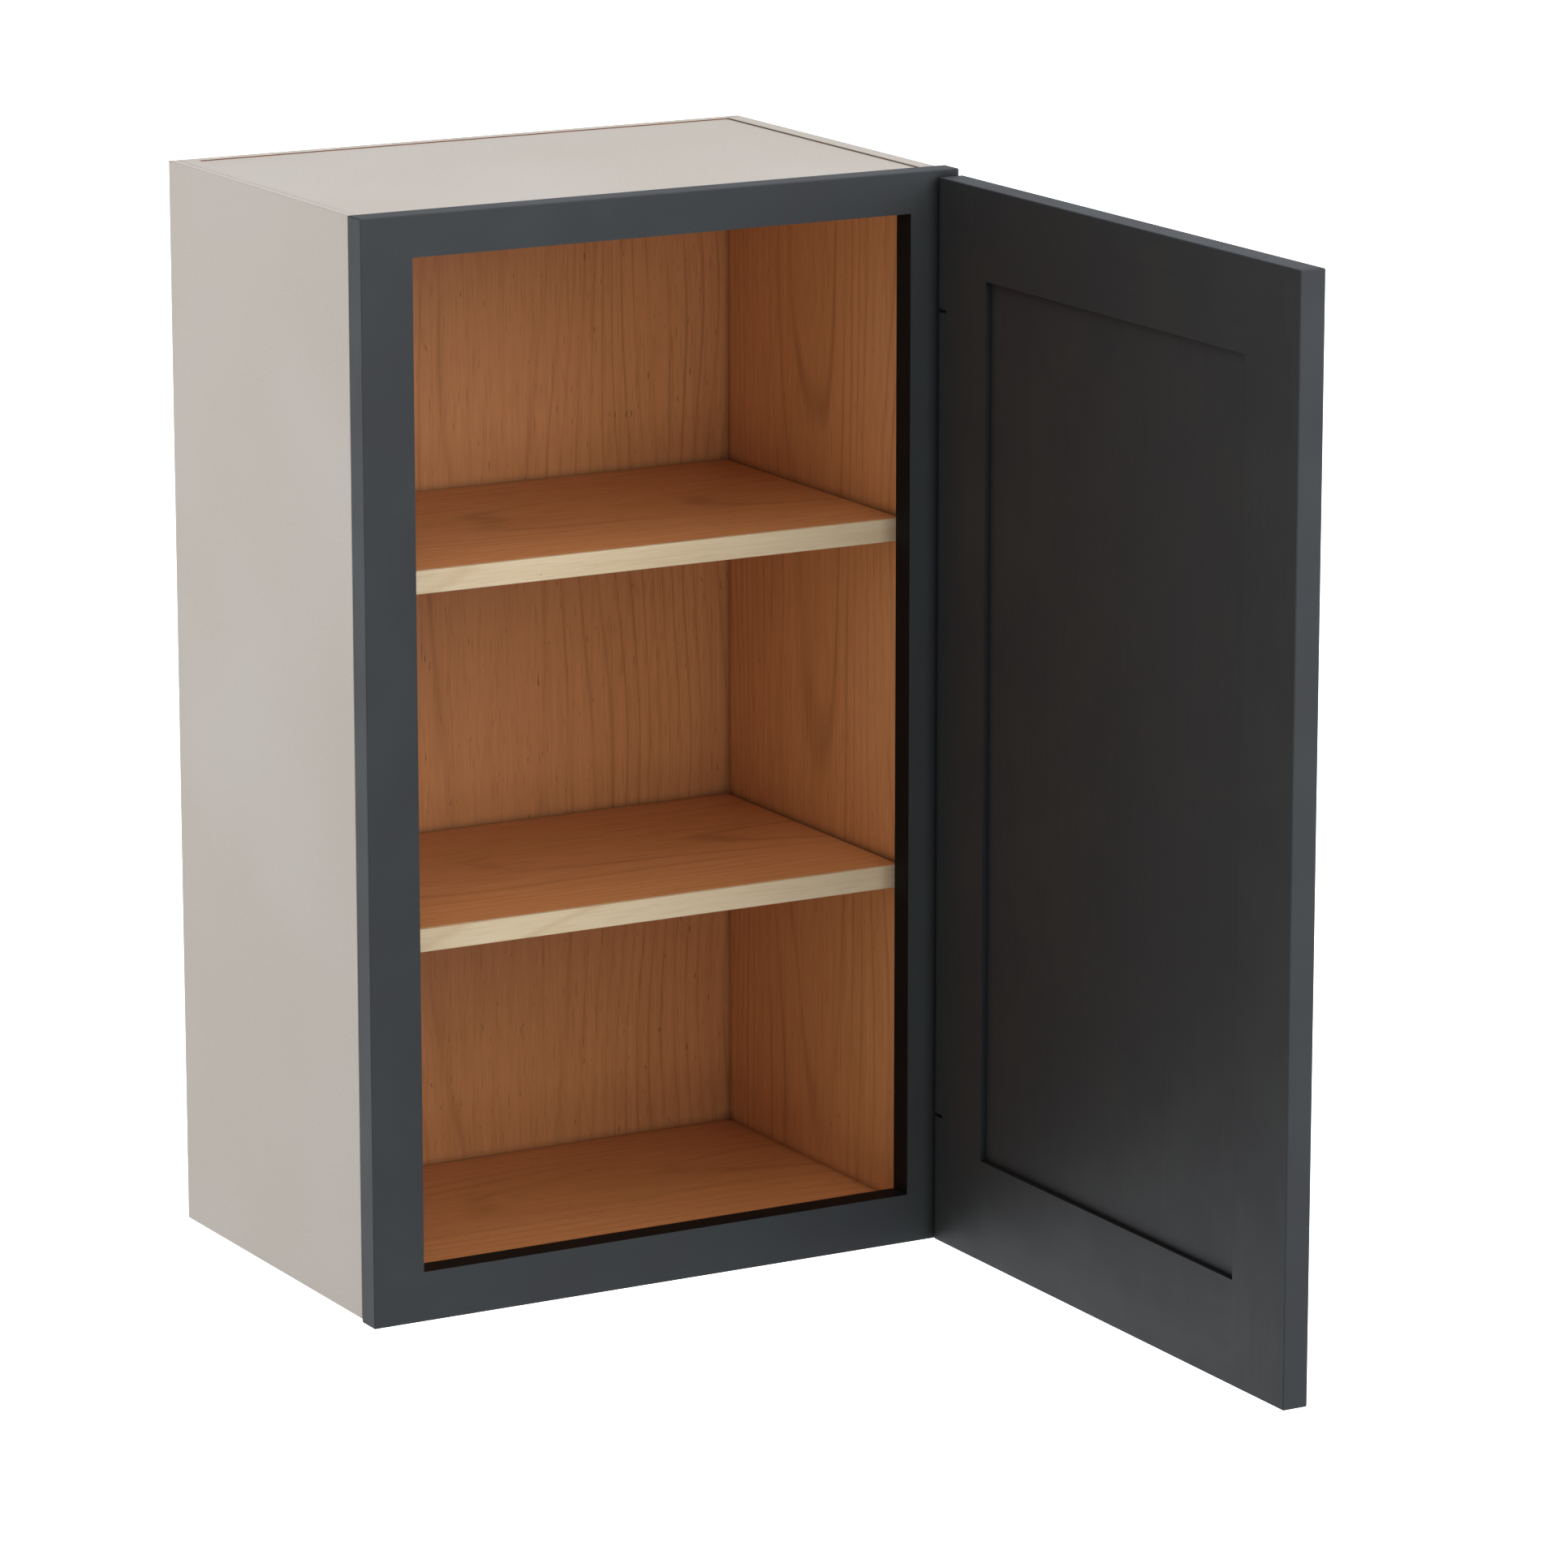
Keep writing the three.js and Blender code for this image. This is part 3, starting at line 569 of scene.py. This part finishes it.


# ---------------------------------------------------------------------------------------
# The face frame: two stiles and two rails of solid maple, joined with loose beech tenons and
# glued to the front of the box. Its dark grey satin paint carries painted shade: nearly black
# on the edges of the opening and in inside corners, and darker along the top edge.

FRAME_EASE = 0.8 * MM
GLUE_GAP = 0.1 * MM
PAINT_HEX = "#323535"
PAINT_DEEP_HEX = "#303133"
PAINT_SHEEN_HEX = "#E8F2FF"
PAINT_SHEEN = 0.35
# Painted shade: a near-black colour and a weaker sheen for the edges of the opening, and for
# inside corners.
NEAR_BLACK_SHADE_HEX = "#100F0E"
OPENING_SHEEN = 0.1
# Painted shade on the faces that look up: a darker copy of the paint, so that they show less lit
# than they are.
TOP_FACE_SHADE_HEX = "#26292B"
TOP_FACE_SHADE_DEEP_HEX = "#242528"
# How open an inside corner and a flat face are, and the share of near-black painted shade in
# each.
PAINT_CORNER_SHADE = (0.5, 1.0, 0.95, 0.0)
PAINT_IOR = 1.5
PAINT_PEBBLE_MM = 2.2
PAINT_FILM_MM = 60
GRAIN_IN_GLOSS = 0.5
GRAIN_IN_HEIGHT = 0.4
PAINT_DEPTH = 0.012 * MM
PAINT_GLOSS = (0.58, 0.62)
GLOSS_RUNS = (0.35, 0.65)
# The covered grain's size across and along the wood, drawn coarse so that it shows.
COVERED_GRAIN_MM = (2.4, 90)


def paint(name, grain, colour=PAINT_HEX, deep=PAINT_DEEP_HEX, sheen=PAINT_SHEEN):
    """Sprayed satin paint on close-grained wood: nearly even dark grey, with the slight
    pebble of a sprayed coat and a trace of the grain under it that shows in the gloss. Painted
    shade darkens it to near black in inside corners, where ambient occlusion finds them shut in."""
    material, node = new_material(name)
    cross, length = COVERED_GRAIN_MM
    under = lumps(node, [length if axis == grain else cross for axis in (X, Y, Z)])
    film = even_lumps(node, PAINT_FILM_MM)
    thickness = node("MapRange", film, *MOST_NOISE, 0.0, 1.0, **SMOOTH)
    # Ambient occlusion drives a painted shade in inside corners.
    open_round = node("AmbientOcclusion", samples=CORNER_RAYS, distance=CORNER_MM * MM)
    painted_shade_share = node("MapRange", open_round.outputs["AO"], *PAINT_CORNER_SHADE, **SMOOTH)
    even = node("Mix", thickness, colour, deep, **COLOURS)
    soaked = node("Math", film, 1 - GRAIN_IN_GLOSS, operation="MULTIPLY")
    soaked = node("Math", under, GRAIN_IN_GLOSS, soaked, operation="MULTIPLY_ADD")
    height = node("Math", under, GRAIN_IN_HEIGHT, operation="MULTIPLY")
    height = node("Math", even_lumps(node, PAINT_PEBBLE_MM), 1 - GRAIN_IN_HEIGHT, height,
                  operation="MULTIPLY_ADD")
    # Its base colour takes the near-black painted shade in inside corners.
    node("OutputMaterial", node(
        "BsdfPrincipled", base_color=node("Mix", painted_shade_share, even, NEAR_BLACK_SHADE_HEX, **COLOURS),
        roughness=node("MapRange", soaked, *GLOSS_RUNS, *PAINT_GLOSS, **SMOOTH),
        ior=PAINT_IOR, specular_ior_level=sheen, specular_tint=PAINT_SHEEN_HEX,
        normal=node("Bump", strength=1.0, distance=PAINT_DEPTH, height=height)))
    return material


def inner_edges(low_node, high_node, axis):
    """Where two stiles face each other: the low one's high side and the high one's low."""
    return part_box(low_node)[1][axis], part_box(high_node)[0][axis]


def filled_joints(axis, edges, gap):
    """A rail's two ends, moved out to the stiles' edges to fill the glue gap with paint."""
    return [(axis, edges[0] + gap, edges[0] + SKIN), (axis, edges[1] - gap, edges[1] - SKIN)]


paint_upright = paint("satin_paint_upright", Z)
paint_level = paint("satin_paint_level", X)
# The opening's edges take a near-black painted shade.
paint_opening_shade = paint("satin_paint_thin_in_opening", Z, NEAR_BLACK_SHADE_HEX, NEAR_BLACK_SHADE_HEX,
                      OPENING_SHEEN)
# The faces that look up, on frame and door, take this darker painted shade.
paint_top_face_shade = paint("satin_paint_top_edge", X, TOP_FACE_SHADE_HEX, TOP_FACE_SHADE_DEEP_HEX)
stile_edges = inner_edges("frame_stile_left", "frame_stile_right", X)
for side, inward in (("left", RIGHT), ("right", LEFT)):
    eased_board(f"frame_stile_{side}", "case",
                [(paint_upright, None), (paint_opening_shade, inward), (paint_top_face_shade, UP)],
                FRAME_EASE, [inward])
for rail, inward in (("top", DOWN), ("bottom", UP)):
    eased_board(f"frame_rail_{rail}", "case",
                [(paint_level, None), (paint_top_face_shade, UP), (paint_opening_shade, inward)],
                FRAME_EASE, [inward, LEFT, RIGHT], filled_joints(X, stile_edges, GLUE_GAP))


# ---------------------------------------------------------------------------------------
# The door: two stiles and two rails, grooved round a flat panel that floats on rubber
# spacers. The same maple and the same paint as the frame, with a darker, browner painted shade
# on the inner face, which is the one that looks left, for the door stands open.

DOOR_EASE = 1.0 * MM
DOOR_GAP = 0.3 * MM
# Painted shade: a darker, browner copy of the paint for the inner face, which looks left while
# the door stands open.
DOOR_INNER_SHADE_HEX = "#2A2B29"
DOOR_INNER_SHADE_DEEP_HEX = "#282828"
paint_door_rail = paint("satin_paint_door_rail", Y)
shaded_inner_upright, shaded_inner_level = (
    paint(f"satin_paint_inner_{way}", grain, DOOR_INNER_SHADE_HEX, DOOR_INNER_SHADE_DEEP_HEX)
    for way, grain in (("upright", Z), ("level", Y)))
stile_edges = inner_edges("door_stile_free", "door_stile_hinge", Y)
for side, inward in (("free", BACK), ("hinge", FRONT)):
    eased_board(f"door_stile_{side}", "door",
                [(paint_upright, None), (shaded_inner_upright, LEFT), (paint_top_face_shade, UP)],
                DOOR_EASE, [inward])
for rail, inward in (("top", DOWN), ("bottom", UP)):
    eased_board(f"door_rail_{rail}", "door",
                [(paint_door_rail, None), (shaded_inner_level, LEFT), (paint_top_face_shade, UP)],
                DOOR_EASE, [inward, FRONT, BACK], filled_joints(Y, stile_edges, DOOR_GAP))
eased_board("door_panel", "door",
            [(paint_upright, None), (shaded_inner_upright, LEFT)], BOARD_EASE)


# ---------------------------------------------------------------------------------------
# What is let in to the wood: black hinge leaves, their pins and screws, the frame's beech
# tenons and the panel's rubber spacers. Their shapes are kept as cut.

BEECH_COLOURS = ("#DDBE93", "#C9A471", "#A98355", "#7F5C36")
SKIN_GLOSS_SPREAD = (0.85, 1.15)


def moulded(name, colour, deep, roughness, pebble_mm, depth):
    """A powder coat or a rubber with a fine pebbled skin, which spreads its shine."""
    material, node = new_material(name)
    pebbles = even_lumps(node, pebble_mm)
    spread = [roughness * share for share in SKIN_GLOSS_SPREAD]
    node("OutputMaterial", node(
        "BsdfPrincipled", base_color=node("Mix", pebbles, colour, deep, **COLOURS),
        ior=RESIN_IOR, roughness=node("MapRange", pebbles, *MOST_NOISE, *spread, **SMOOTH),
        normal=node("Bump", strength=1.0, distance=depth, height=pebbles)))
    return material


powder_coat = moulded("black_powder_coat", "#1E1E1F", "#161617", roughness=0.5,
                      pebble_mm=0.8, depth=0.01 * MM)
rubber = moulded("spacer_rubber", "#303030", "#242424", roughness=0.85, pebble_mm=1.2,
                 depth=0.02 * MM)
zinc = metal("zinc_plated_steel", "#BFC0BC", roughness=0.35, marks_mm=(1.0, 1.0, 1.0),
             depth=0.004 * MM)
ground_steel = metal("ground_steel", "#AEAFAD", roughness=0.22, marks_mm=(3.0, 3.0, 0.3),
                     depth=0.002 * MM)
beech = maple("beech_tenon", BEECH_COLOURS, X, Z, heart=0.0, depth=30 * MM, lean=0.02,
              seed=20.0)
for node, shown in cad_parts.items():
    if node.endswith("_leaf"):
        coat = powder_coat
    elif node.startswith("hinge") and "screw" in node:
        coat = zinc
    elif node.startswith("hinge"):
        coat = ground_steel
    elif node.startswith("frame_tenon"):
        coat = beech
    elif node.startswith("panel_spacer"):
        coat = rubber
    else:
        continue
    shown.data.materials.clear()
    shown.data.materials.append(coat)
